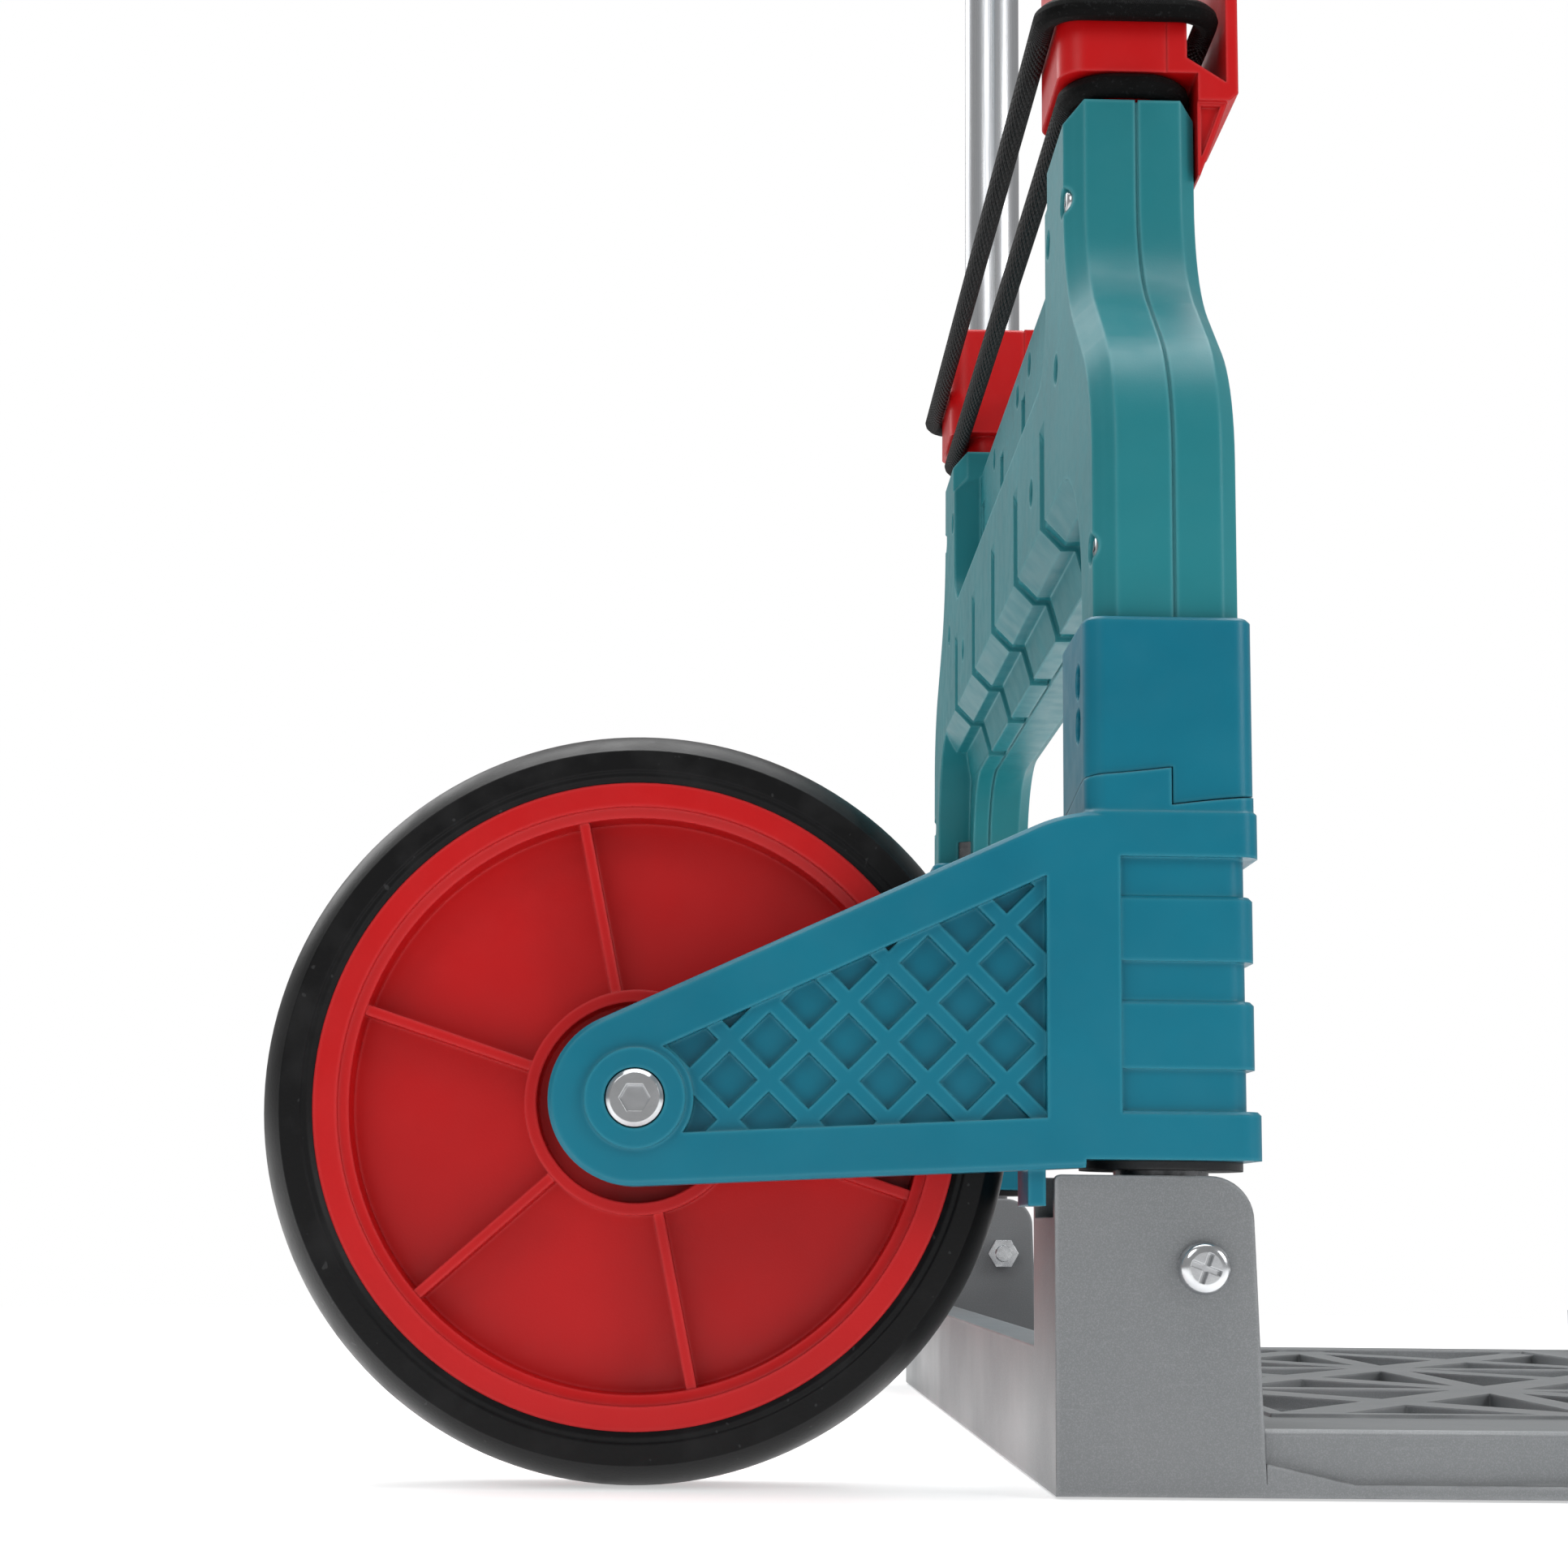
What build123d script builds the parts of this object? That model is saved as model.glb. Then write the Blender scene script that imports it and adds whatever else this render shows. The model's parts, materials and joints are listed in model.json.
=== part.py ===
from build123d import *
import math
import os

os.makedirs("parts", exist_ok=True)

# Folding platform cart, in millimetres. X runs across the cart, +Y to the wheels at the back and +Z up.
# It is drawn with Y = 0 on the axis of the two leg tubes. save() moves it so that the origin lies on the
# floor under the middle of the cart. Pieces of the -X side are drawn, and the +X side mirrors them.

# Driving dimensions
tube_to_centre = 20.0  # from the leg tubes' axis to the middle of the cart, along Y
leg_x = 218.0  # leg (pivot) tube axis
upper_x = 163.0  # upper tube axis
leg_tube_r = 11.0
upper_tube_r = 10.5
leg_wall, upper_wall = 2.0, 1.5
slide_gap = 0.05  # running clearance on a radius
fold_drop = 4.35  # how far a wheel bracket sinks while it turns 90 degrees

wheel_r = 87.5
wheel_width = 30.0
wheel_x = 209.0
axle_y = 122.0
rim_r = 74.6
axle_r = 4.0

shell_back = 16.6
shell_front = -17.4
seam_y = -2.0
shell_wall = 3.0
back_chamfer, front_chamfer = 5.0, 4.0
leg_out, leg_in = 235.0, 197.0
neck_out, neck_in = 185.0, 141.0
leg_bottom, neck_top = 172.0, 350.0
panel_bottom, panel_top = 233.0, 340.0
tier_top, tier_bottom = 290.0, 250.0
groove_pitch = 66.0
groove_width = 11.0

cam_low = 156.0
cam_rise = 2 * fold_drop
cam_gap = 0.4
cam_turn_gap = 1.2  # degrees
sleeve_top = 200.5
barrel_bottom = 75.0
corner_r = 5.0
arm_out, arm_in = 240.0, 227.0
washer_thickness = 2.1

plate_pivot_y, plate_pivot_z = -6.6, 51.0
plate_half = 236.0
plate_front, plate_back = -249.5, 27.0
plate_top = 15.5
plate_base = 0.6
ear_out, ear_in = 236.0, 195.0
ear_top = 71.6
ear_front = -18.2
ear_foot = -20.2  # the ear widens towards the floor
flange_top = 3.6
bead_height = 0.9
sheet = 3.0

tube_low, tube_high = 293.0, 640.0
leg_tube_top = 211.0
handle_top = 730.0
handle_travel = 290.0
button_travel = 6.0
pin_travel = 3.0

cord_r = 3.15


def box(x, y, z):
    size = [high - low for low, high in (x, y, z)]
    return Pos((x[0] + x[1]) / 2, (y[0] + y[1]) / 2, (z[0] + z[1]) / 2) * Box(*size)


def rod_z(radius, z_low, z_high, x=0.0, y=0.0):
    return Pos(x, y, (z_low + z_high) / 2) * Cylinder(radius, z_high - z_low)


def rod_x(radius, x_low, x_high, y, z):
    return Pos((x_low + x_high) / 2, y, z) * Rot(0, 90, 0) * Cylinder(radius, x_high - x_low)


def rod_y(radius, y_low, y_high, x, z):
    return Pos(x, (y_low + y_high) / 2, z) * Rot(90, 0, 0) * Cylinder(radius, y_high - y_low)


def hexagon_x(across_flats, x_low, x_high, y, z):
    corner_r = across_flats / 2 / math.cos(math.radians(30))
    sketch = Plane.YZ.offset(x_low) * Pos(y, z) * RegularPolygon(corner_r, 6)
    return extrude(sketch, amount=x_high - x_low)


def slab_y(sketch, y_low, y_high):
    return extrude(Plane.XZ.offset(-y_high) * sketch, amount=y_high - y_low)


def slab_x(sketch, x_low, x_high):
    return extrude(Plane.YZ.offset(x_low) * sketch, amount=x_high - x_low)


def slab_z(sketch, z_low, z_high):
    return extrude(Plane.XY.offset(z_low) * sketch, amount=z_high - z_low)


def polygon(points):
    return make_face(Polyline(*points, close=True))


def other_side(shape):
    return mirror(shape, about=Plane.YZ)


def group(solids):
    pieces = [solid for shape in solids for solid in shape.solids()]
    return Compound(pieces)


def save(name, shape):
    export_step(shape.moved(Location((0, tube_to_centre, 0))), f"parts/{name}.step")


def save_pair(name, shape):
    save(name + "_left", shape)
    save(name + "_right", other_side(shape))


# Frame shells: two halves of one moulded arch, with hollow legs and a stepped panel between them.
def frame_outline(inset=0.0):
    with BuildSketch() as sketch:
        with BuildLine():
            Polyline((0, panel_top), (-neck_in, panel_top), (-neck_in, neck_top), (-neck_out, neck_top))
            FilletPolyline((-neck_out, neck_top), (-neck_out, 303), (-leg_out, 261), (-leg_out, leg_bottom),
                           radius=45)
            Line((-leg_out, leg_bottom), (-leg_in, leg_bottom))
            FilletPolyline((-leg_in, leg_bottom), (-leg_in, panel_bottom), (0, panel_bottom), radius=30)
            mirror(about=Plane.YZ)
        make_face()
        if inset:
            offset(amount=-inset, kind=Kind.INTERSECTION)
    return sketch.sketch


def lower_tiers(margin=0.0):
    # The narrow back face of each leg ends on this rounded outline, and the panel's lower tiers lie inside it.
    with BuildSketch() as sketch:
        with BuildLine():
            corner = (-211 - margin, tier_bottom + margin)
            FilletPolyline((0, corner[1]), corner, (corner[0], 150), radius=38 + margin)
            Line((corner[0], 150), (0, 150))
            mirror(about=Plane.YZ)
        make_face()
    return sketch.sketch


def panel_step():
    # What is missing behind the panel's bevel, underside and lower tier, seen along X.
    step = polygon([
        (25, tier_bottom), (shell_back, tier_bottom), (10.9, 244), (6.9, 244), (4.2, 234.5),
        (4.2, 150), (25, 150),
    ])
    return slab_x(step, -230, 230) & slab_y(lower_tiers(), -20, 30)


def panel_groove(x):
    groove = polygon([
        (20, 279), (17, 279), (15.2, 274), (15.2, 250.6), (9.6, 245.5), (5.6, 245.5), (2.7, 235.4),
        (2.7, 234.6), (-8, 234.6), (-8, 228), (20, 228),
    ])
    return slab_x(groove, x - groove_width / 2, x + groove_width / 2)


groove_places = [groove_pitch * step for step in (-2, -1, 0, 1, 2)]
shell_screw_places = [
    (side * x, z)
    for side in (-1, 1)
    for x, z in ((178, 324), (148, 324), (163, 284), (106, 266), (227, 219))
]
band_screw_places = [(x, 333) for x in (-92, -17, 17, 92)]
screw_head_r, screw_shank_r, boss_r = 3.6, 1.9, 4.6
screw_sink = 3.0
sleeve_screw_x, sleeve_screw_r = 226.0, 1.45
sleeve_screw_z = (187.0, 176.5)


def screw_back(place):
    return shell_back if place not in band_screw_places else shell_back - 10


def shell_cavity(y_low, y_high):
    cavity = slab_y(frame_outline(shell_wall), y_low, y_high)
    for x, z in shell_screw_places + band_screw_places:
        cavity -= rod_y(boss_r, y_low, y_high, x, z)
    for z in (195, 225, 262, 305):
        cavity -= box((-250, -150), (y_low, y_high), (z, z + 2.5))
        cavity -= box((150, 250), (y_low, y_high), (z, z + 2.5))
    for x in groove_places:
        cavity -= box((x - 1.5, x + 1.5), (y_low, y_high), (panel_bottom, panel_top))
    return cavity


def tube_holes():
    return [
        rod_z(radius, low, high, side * x)
        for side in (-1, 1)
        for radius, low, high, x in (
            (leg_tube_r + slide_gap, 150, leg_tube_top, leg_x),
            (upper_tube_r + slide_gap, tube_low, 400, upper_x),
        )
    ]


def rear_shell():
    shell = slab_y(frame_outline(), seam_y, shell_back)
    back_face = shell.faces().sort_by(Axis.Y)[-1]
    shell = chamfer(back_face.edges(), back_chamfer)
    band = RectangleRounded(2 * neck_in, 80, 16)
    band_cut = slab_y(Pos(0, tier_top + 40) * band, shell_back - 10, 30)
    shell -= band_cut
    shell -= panel_step()
    for x in groove_places:
        shell -= panel_groove(x)
        shell -= box((x - groove_width / 2, x + groove_width / 2), (5.2, 8), (tier_top - 2, 328))
    cavity = shell_cavity(seam_y, shell_back - shell_wall)
    cavity -= slab_y(Pos(0, tier_top + 40) * RectangleRounded(2 * neck_in + 6, 86, 16), 3.6, 20)
    cavity -= slab_y(lower_tiers(4), 0.2, 20)
    shell -= cavity
    for x, z in shell_screw_places + band_screw_places:
        back = screw_back((x, z))
        shell -= rod_y(screw_head_r + 0.5, back - screw_sink, back + 5, x, z)
        shell -= rod_y(screw_shank_r + 0.2, seam_y, back, x, z)
    for z in sleeve_screw_z:
        for x in (-sleeve_screw_x, sleeve_screw_x):
            shell -= rod_y(sleeve_screw_r + slide_gap, shell_back - 4, shell_back + 1, x, z)
    shell -= tube_holes()
    seam = slab_y(frame_outline(), seam_y - 1, seam_y + 0.4) - slab_y(frame_outline(0.5), seam_y - 1, 5)
    return shell - seam


def front_shell():
    shell = slab_y(frame_outline(), shell_front, seam_y)
    shell = chamfer(shell.faces().sort_by(Axis.Y)[0].edges(), front_chamfer)
    shell -= shell_cavity(shell_front + shell_wall, seam_y)
    for x in groove_places:
        shell -= box((x - 8, x + 8), (shell_front - 1, shell_front + 1.2), (panel_bottom + 9, panel_top - 9))
    for x, z in shell_screw_places + band_screw_places:
        shell -= rod_y(screw_shank_r + slide_gap, seam_y - 10, seam_y + 1, x, z)
    shell -= tube_holes()
    seam = slab_y(frame_outline(), seam_y - 0.4, seam_y + 1) - slab_y(frame_outline(0.5), -8, seam_y + 2)
    return shell - seam


def pan_screw_y(x, z, back):
    seat = back - screw_sink
    head = rod_y(screw_head_r, seat, seat + 2.2, x, z)
    head = fillet(head.faces().sort_by(Axis.Y)[-1].edges(), 1.4)
    recess = box((x - 2, x + 2), (seat + 0.8, seat + 4), (z - 0.5, z + 0.5))
    recess += box((x - 0.5, x + 0.5), (seat + 0.8, seat + 4), (z - 2, z + 2))
    return head - recess + rod_y(screw_shank_r, seam_y - 9.5, seat, x, z)


save("frame_rear_shell", rear_shell())
save("frame_front_shell", front_shell())
shell_screws = [pan_screw_y(x, z, screw_back((x, z))) for x, z in shell_screw_places + band_screw_places]
save("shell_screws", group(shell_screws))
print("shells")


# Helical cam: two ramps of 180 degrees each. A ramp sector reaches from the ramp to z_end.
cam_steps = 12


def cam_sectors(z_end, lift, turn):
    sectors = []
    for start in (0, 180):
        sections = []
        for step in range(cam_steps + 1):
            share = step / cam_steps
            angle = math.radians(start + 180 * share + turn)
            ramp = cam_low + cam_rise * share + lift
            along = Vector(math.cos(angle), math.sin(angle), 0)
            across = Vector(math.sin(angle), -math.cos(angle), 0)
            plane = Plane(origin=(-leg_x, 0, 0), x_dir=along, z_dir=across)
            corners = [(6, ramp), (45, ramp), (45, z_end), (6, z_end)]
            sections.append(plane * polygon(corners))
        sectors.append(loft(sections, ruled=True))
    return sectors


def leg_sleeve():
    outline = Pos(-216, 0) * RectangleRounded(45, 39.4, corner_r)
    sleeve = slab_z(outline, 150, sleeve_top)
    sleeve = chamfer(sleeve.faces().sort_by(Axis.Z)[-1].edges(), 0.8)
    pocket_y = (shell_front - 0.1, shell_back + 0.1)
    sleeve -= box((-leg_out - 0.1, -leg_in + 0.1), pocket_y, (leg_bottom, 220))
    sleeve -= rod_z(leg_tube_r + slide_gap, 140, 220, -leg_x)
    sleeve -= rod_z(spring_seat_r, 140, spring_high, -leg_x)
    for sector in cam_sectors(140, cam_gap, cam_turn_gap):
        sleeve -= sector
    for z in sleeve_screw_z:
        sleeve -= rod_y(4.5, shell_back + 0.7, 30, -sleeve_screw_x, z)
        sleeve -= rod_y(2.0, 10, 30, -sleeve_screw_x, z)
    return sleeve


spring_seat_r = 14.6
spring_low, spring_high = 120.0, 168.0
save_pair("leg_sleeve", leg_sleeve())


def sleeve_screws(side):
    screws = []
    for z in sleeve_screw_z:
        head = rod_y(3.4, shell_back + 0.75, shell_back + 2.3, side * sleeve_screw_x, z)
        shank = rod_y(sleeve_screw_r, shell_back - 2.5, shell_back + 0.75, side * sleeve_screw_x, z)
        screws.append(head + shank)
    return screws


save("sleeve_screws", group(sleeve_screws(-1) + sleeve_screws(1)))


def tube(radius, wall, z_low, z_high, x):
    return rod_z(radius, z_low, z_high, x) - rod_z(radius - wall, z_low - 1, z_high + 1, x)


# Each leg tube ends in a block that carries the toe plate's hinge screw.
hinge_screw_r = 3.0
block_low, block_high = 33.0, 66.0
save_pair("pivot_tube", tube(leg_tube_r, leg_wall, block_high, leg_tube_top, -leg_x))


def hinge_block():
    block = box((-232, -199), (-17, 12), (block_low, block_high))
    block = chamfer(block.edges().filter_by(Axis.X), 3)
    block += rod_z(leg_tube_r - leg_wall - slide_gap, block_high - 1, 96, -leg_x)
    return block - rod_x(hinge_screw_r + slide_gap, -240, -190, plate_pivot_y, plate_pivot_z)


save_pair("hinge_block", hinge_block())


def coil_spring(wire_r, coil_r, pitch, z_low, z_high, x):
    helix = Helix(pitch=pitch, height=z_high - z_low - 2 * wire_r - 0.4, radius=coil_r)
    path = Pos(x, 0, z_low + wire_r + 0.2) * helix
    profile = Plane(origin=path @ 0, z_dir=path % 0) * Circle(wire_r)
    return sweep(profile, path=path, is_frenet=True)


save_pair("cam_spring", coil_spring(1.1, 12.9, 7.2, spring_low, spring_high, -leg_x))
print("legs")


# Wheel bracket: a barrel that turns on the leg tube, with a lattice arm out to the axle.
def arm_outline(trim=0.0):
    # Straight upper and lower edges run tangent to the round nose at the axle.
    nose_r = 19.6 - trim
    upper_slope, lower_slope = math.atan(0.461), math.atan(0.0516)
    upper = Vector(axle_y + nose_r * math.sin(upper_slope), wheel_r + nose_r * math.cos(upper_slope))
    lower = Vector(axle_y - nose_r * math.sin(lower_slope), wheel_r - nose_r * math.cos(lower_slope))
    y_end = 12.0
    top_z = upper.Y + (upper.X - 24) * math.tan(upper_slope)
    lower_end = (y_end, lower.Y + (lower.X - y_end) * math.tan(lower_slope))
    with BuildSketch() as sketch:
        with BuildLine():
            FilletPolyline((upper.X, upper.Y), (24, top_z), (y_end, top_z), radius=38)
            Polyline((y_end, top_z), lower_end, (lower.X, lower.Y))
            ThreePointArc((upper.X, upper.Y), (axle_y + nose_r, wheel_r), (lower.X, lower.Y))
        make_face()
    return sketch.sketch


rim_width = 11.5
field_depth, pocket_depth = 1.8, 2.4
pocket_side, pocket_pitch = 9.0, 12.7


def lattice_field():
    field = offset(arm_outline(), amount=-rim_width, kind=Kind.INTERSECTION)
    field &= Pos(29 + 60, 110) * Rectangle(120, 100)
    return field - Pos(axle_y, wheel_r) * Circle(13.2)


def diamond_pockets():
    step = pocket_pitch / math.sqrt(2)
    pockets = []
    for row in range(12):
        for column in range(7):
            y = 29 + column * 2 * step + (row % 2) * step
            z = 74 + row * step
            pockets.append(Pos(y, z) * Rot(0, 0, 45) * Rectangle(pocket_side, pocket_side))
    return lattice_field() & Sketch() + pockets


def wheel_bracket():
    centre = Pos(-leg_x, 0)
    bracket = slab_z(centre * RectangleRounded(40, 34.6, corner_r), barrel_bottom, 150)
    for low, high, length, width in (
        (barrel_bottom, 86, 44, 40.6), (95.5, 111, 42.4, 38.2), (120, 135, 42.4, 38.2), (144, 155, 44, 40.6),
    ):
        band = slab_z(centre * RectangleRounded(length, width, corner_r), low, high)
        bracket += chamfer(band.faces().sort_by(Axis.Z)[-1].edges(), 0.8)
    bracket += slab_z(centre * RectangleRounded(43, 39.4, corner_r), 150, 170)
    arm = slab_x(arm_outline(), -arm_out, -arm_in)
    outer_edges = arm.faces().sort_by(Axis.X)[0].edges()
    arm = chamfer([edge for edge in outer_edges if edge.center().Y > 12.5], 1.0)
    arm -= box((-250, -200), (0, 20.3), (0, barrel_bottom))
    bracket += arm
    bracket += rod_x(11.4, -arm_out - 1.6, -arm_in, axle_y, wheel_r)
    bracket += box((-236, -215), (16, 33), (barrel_bottom, 82))
    bracket += box((-236, -215), (29, 33), (64.5, 82))
    bracket -= slab_x(lattice_field(), -arm_out - 5, -arm_out + field_depth)
    bracket -= slab_x(diamond_pockets(), -arm_out - 5, -arm_out + field_depth + pocket_depth)
    hollow = offset(arm_outline(), amount=-4, kind=Kind.INTERSECTION) & Pos(84, 110) * Rectangle(104, 120)
    hollow -= Pos(axle_y, wheel_r) * Circle(11)
    for y in (52, 76, 98):
        hollow -= Pos(y, 110) * Rectangle(2.4, 120)
    bracket -= slab_x(hollow, -arm_out + 7.4, -arm_in + 5)
    bracket -= rod_z(leg_tube_r + slide_gap, 60, 180, -leg_x)
    bracket -= rod_z(spring_seat_r, spring_low, 180, -leg_x)
    bracket -= rod_x(6.8, -arm_out - 5, -arm_out + 5.5, axle_y, wheel_r)
    bracket -= rod_x(axle_r + slide_gap, -arm_out, -arm_in + 1, axle_y, wheel_r)
    for sector in cam_sectors(190, 0, 0):
        bracket -= sector
    return bracket


save_pair("wheel_bracket", wheel_bracket())
washer = rod_z(19.0, barrel_bottom - washer_thickness, barrel_bottom, -leg_x)
save_pair("thrust_washer", washer - rod_z(leg_tube_r + slide_gap, 60, 80, -leg_x))


def axle_screw():
    seat = -arm_out + 5.5
    screw = rod_x(6.5, seat - 8, seat, axle_y, wheel_r)
    screw = chamfer(screw.faces().sort_by(Axis.X)[0].edges(), 0.9)
    screw += rod_x(axle_r, seat, -183.5, axle_y, wheel_r)
    return screw - hexagon_x(6, seat - 10, seat - 3.5, axle_y, wheel_r)


def ring_x(outer_r, inner_r, x_low, x_high):
    return rod_x(outer_r, x_low, x_high, axle_y, wheel_r) - rod_x(inner_r, x_low - 1, x_high + 1, axle_y, wheel_r)


save_pair("axle_screw", axle_screw())
save_pair("axle_spacer", ring_x(8, axle_r + slide_gap, -arm_in, -225.2))
nut = hexagon_x(13, -190.4, -184.4, axle_y, wheel_r) - rod_x(axle_r + slide_gap, -200, -180, axle_y, wheel_r)
nut += ring_x(8, axle_r + slide_gap, -192.6, -190.4)
save_pair("axle_nut", nut)
print("brackets")


# Wheel: a moulded rim with six thin ribs, two bushes and a solid tyre.
def turned(points):
    # The section's first coordinate is the radius, and the second runs along the axle.
    section = polygon([(x, radius) for radius, x in points])
    body = revolve(section, axis=Axis.X, revolution_arc=360)
    return Pos(-wheel_x, axle_y, wheel_r) * body


def wheel_hub():
    hub = turned([(7.05, -16), (12.5, -16), (12.5, -3), (23.2, -3), (23.2, -12.5), (26, -12.5), (26, -1.5),
                  (66.5, -1.5), (66.5, -11.5), (69, -12), (69, -13.5), (rim_r, -13.5),
                  (rim_r, 13.5), (69, 13.5), (69, 12), (66.5, 11.5), (66.5, 1.5),
                  (26, 1.5), (26, 12.5), (23.2, 12.5), (23.2, 3), (12.5, 3), (12.5, 16), (7.05, 16)])
    for step in range(6):
        rib = Pos(46.2, 0, 0) * Box(41.2, 21, 2.4)
        angle = 180 - 41.8 - 60 * step
        hub += Pos(-wheel_x, axle_y, wheel_r) * Rot(angle, 0, 0) * Rot(0, 0, 90) * rib
    return hub


def tyre():
    # Flat sides to the shoulder, then a round tread.
    half = wheel_width / 2
    section = Polyline((82, half), (rim_r + 3, half), (rim_r, half - 1.5), (rim_r, 1.5 - half), (rim_r + 3, -half),
                       (82, -half)).edges()
    section += ThreePointArc((82, -half), (wheel_r, 0), (82, half)).edges()
    body = revolve(make_face(section), axis=Axis.Y, revolution_arc=360)
    return Pos(-wheel_x, axle_y, wheel_r) * Rot(0, 0, 90) * body


save_pair("wheel_hub", wheel_hub())
save_pair("tyre", tyre())
bushes = [
    ring_x(7.05, axle_r + slide_gap, -wheel_x - 16, -wheel_x - 4),
    ring_x(7.05, axle_r + slide_gap, -wheel_x + 4, -wheel_x + 16),
]
save_pair("wheel_bushes", group(bushes))
print("wheels")


# Toe plate: a shallow ribbed tray with a channel ear round the foot of each leg.
def cheek(x_low, x_high):
    front_r, back_r = 10.0, 1.5
    with BuildSketch() as sketch:
        with BuildLine():
            Polyline((ear_front, ear_top - front_r), (ear_foot, plate_base), (plate_back, plate_base),
                     (plate_back, ear_top - back_r))
            RadiusArc((plate_back, ear_top - back_r), (plate_back - back_r, ear_top), -back_r)
            Line((plate_back - back_r, ear_top), (ear_front + front_r, ear_top))
            RadiusArc((ear_front + front_r, ear_top), (ear_front, ear_top - front_r), -front_r)
        make_face()
    return slab_x(sketch.sketch, x_low, x_high)


def rib(start, end, width, z_low, z_high):
    length = math.dist(start, end)
    turn = math.degrees(math.atan2(end[1] - start[1], end[0] - start[0]))
    middle = ((start[0] + end[0]) / 2, (start[1] + end[1]) / 2)
    return slab_z(Pos(*middle) * Rot(0, 0, turn) * Rectangle(length, width), z_low, z_high)


field_x, field_front, field_back = 188.0, -203.0, -34.0
wall_half = plate_half - 2.5
wall_front = plate_front + 2.5


def toe_plate():
    middle_y = (plate_front + plate_back) / 2
    length = plate_back - plate_front
    flange = Pos(0, middle_y) * RectangleRounded(2 * plate_half, length, 8)
    plate = slab_z(flange, plate_base, flange_top)
    wall_length = plate_back - wall_front
    wall = Pos(0, (wall_front + plate_back) / 2) * RectangleRounded(2 * wall_half, wall_length, 7)
    tray = slab_z(wall, plate_base, plate_top)
    plate += chamfer(tray.faces().sort_by(Axis.Z)[-1].edges(), 1.0)
    inner = Pos(0, (wall_front + plate_back) / 2) * Rectangle(2 * wall_half - 2 * sheet, wall_length - 2 * sheet)
    plate -= slab_z(inner, 0, plate_top - sheet)
    # The lip of the flange climbs towards the ear.
    climb = polygon([(ear_foot, flange_top), (ear_foot + 0.3, 8.1), (ear_foot - 20, flange_top)])
    for x_low, x_high in ((-plate_half, -wall_half + 1), (wall_half - 1, plate_half)):
        plate += slab_x(climb, x_low, x_high)
    field = box((-field_x, field_x), (field_front, field_back), (0, plate_top + 5))
    plate -= field
    columns, rows = 3, 2
    cell_x = 2 * field_x / columns
    cell_y = (field_back - field_front) / rows
    for column in range(columns):
        for row in range(rows):
            x = -field_x + column * cell_x
            y = field_front + row * cell_y
            for start, end in (((x, y), (x + cell_x, y + cell_y)), ((x, y + cell_y), (x + cell_x, y))):
                plate += rib(start, end, 5, plate_base + 1, plate_top)
                plate += rib(start, end, 14, plate_top - 4, plate_top)
    for column in range(1, columns):
        x = -field_x + column * cell_x
        plate += rib((x, field_front - 2), (x, field_back + 2), 9, plate_base + 1, plate_top)
    y = field_front + cell_y
    plate += rib((-field_x - 2, y), (field_x + 2, y), 9, plate_base + 1, plate_top)
    # A raised bead runs round the ribbed field.
    for y_low, y_high in ((field_front - 4, field_front), (field_back, field_back + 4)):
        plate += box((-field_x - 4, field_x + 4), (y_low, y_high), (plate_base + 1, plate_top + bead_height))
    for x_low, x_high in ((-field_x - 4, -field_x), (field_x, field_x + 4)):
        plate += box((x_low, x_high), (field_front, field_back), (plate_base + 1, plate_top + bead_height))
    # A rail with a turned lip joins the ears along the back edge.
    plate += box((-ear_in, ear_in), (plate_back - sheet, plate_back), (plate_base, 32))
    plate += box((-ear_in, ear_in), (plate_back - 12, plate_back), (29, 32))
    for side in (-1, 1):
        cut_x = sorted((side * 200, side * 231))
        plate -= box((min(side * ear_out, side * ear_in), max(side * ear_out, side * ear_in)),
                     (ear_foot, plate_back + 1), (plate_base + sheet, 90))
        for y in foot_places:
            plate += box(cut_x, (y, y + foot_length), (plate_base, plate_top - 1))
        edges = (-ear_out, -ear_out + sheet), (-ear_in - sheet, -ear_in)
        for x_low, x_high in edges:
            wall_plate = cheek(x_low, x_high)
            plate += wall_plate if side < 0 else other_side(wall_plate)
        back_wall = box((-ear_out, -ear_in), (plate_back - sheet, plate_back), (plate_base, 62))
        plate += back_wall if side < 0 else other_side(back_wall)
        floor = box((-ear_out, -ear_in), (ear_foot, plate_back), (plate_base, plate_base + sheet))
        plate += floor if side < 0 else other_side(floor)
    plate -= rod_x(hinge_screw_r + 0.03, -250, 250, plate_pivot_y, plate_pivot_z)
    return plate


foot_places = (-110.0, -235.0)
foot_length = 24.0
save("toe_plate", toe_plate())
feet = [
    box(sorted((side * 203, side * 228)), (y + 2, y + foot_length - 2), (0, plate_base))
    for side in (-1, 1) for y in foot_places
]
save("plate_feet", group(feet))


def corner_bumper():
    bumper = box((-232, -196), (wall_front + 2, wall_front + 14), (plate_top, 34))
    bumper = fillet(bumper.edges().filter_by(Axis.Z), 5)
    return chamfer(bumper.faces().sort_by(Axis.Z)[-1].edges(), 3)


save("corner_bumpers", group([corner_bumper(), other_side(corner_bumper())]))


def hinge_screw():
    head_seat = -ear_out
    head = rod_x(6.0, head_seat - 3.6, head_seat, plate_pivot_y, plate_pivot_z)
    head = fillet(head.faces().sort_by(Axis.X)[0].edges(), 2.4)
    for turn in (20, 110):
        slot = Rot(turn, 0, 0) * Box(4, 7, 1.3)
        head -= Pos(head_seat - 3.2, plate_pivot_y, plate_pivot_z) * slot
    return head + rod_x(hinge_screw_r, head_seat, -187.5, plate_pivot_y, plate_pivot_z)


def hinge_nut():
    hexagon = hexagon_x(10, -ear_in, -ear_in + 5.5, plate_pivot_y, plate_pivot_z)
    return hexagon - rod_x(hinge_screw_r + 0.03, -200, -180, plate_pivot_y, plate_pivot_z)


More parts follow.
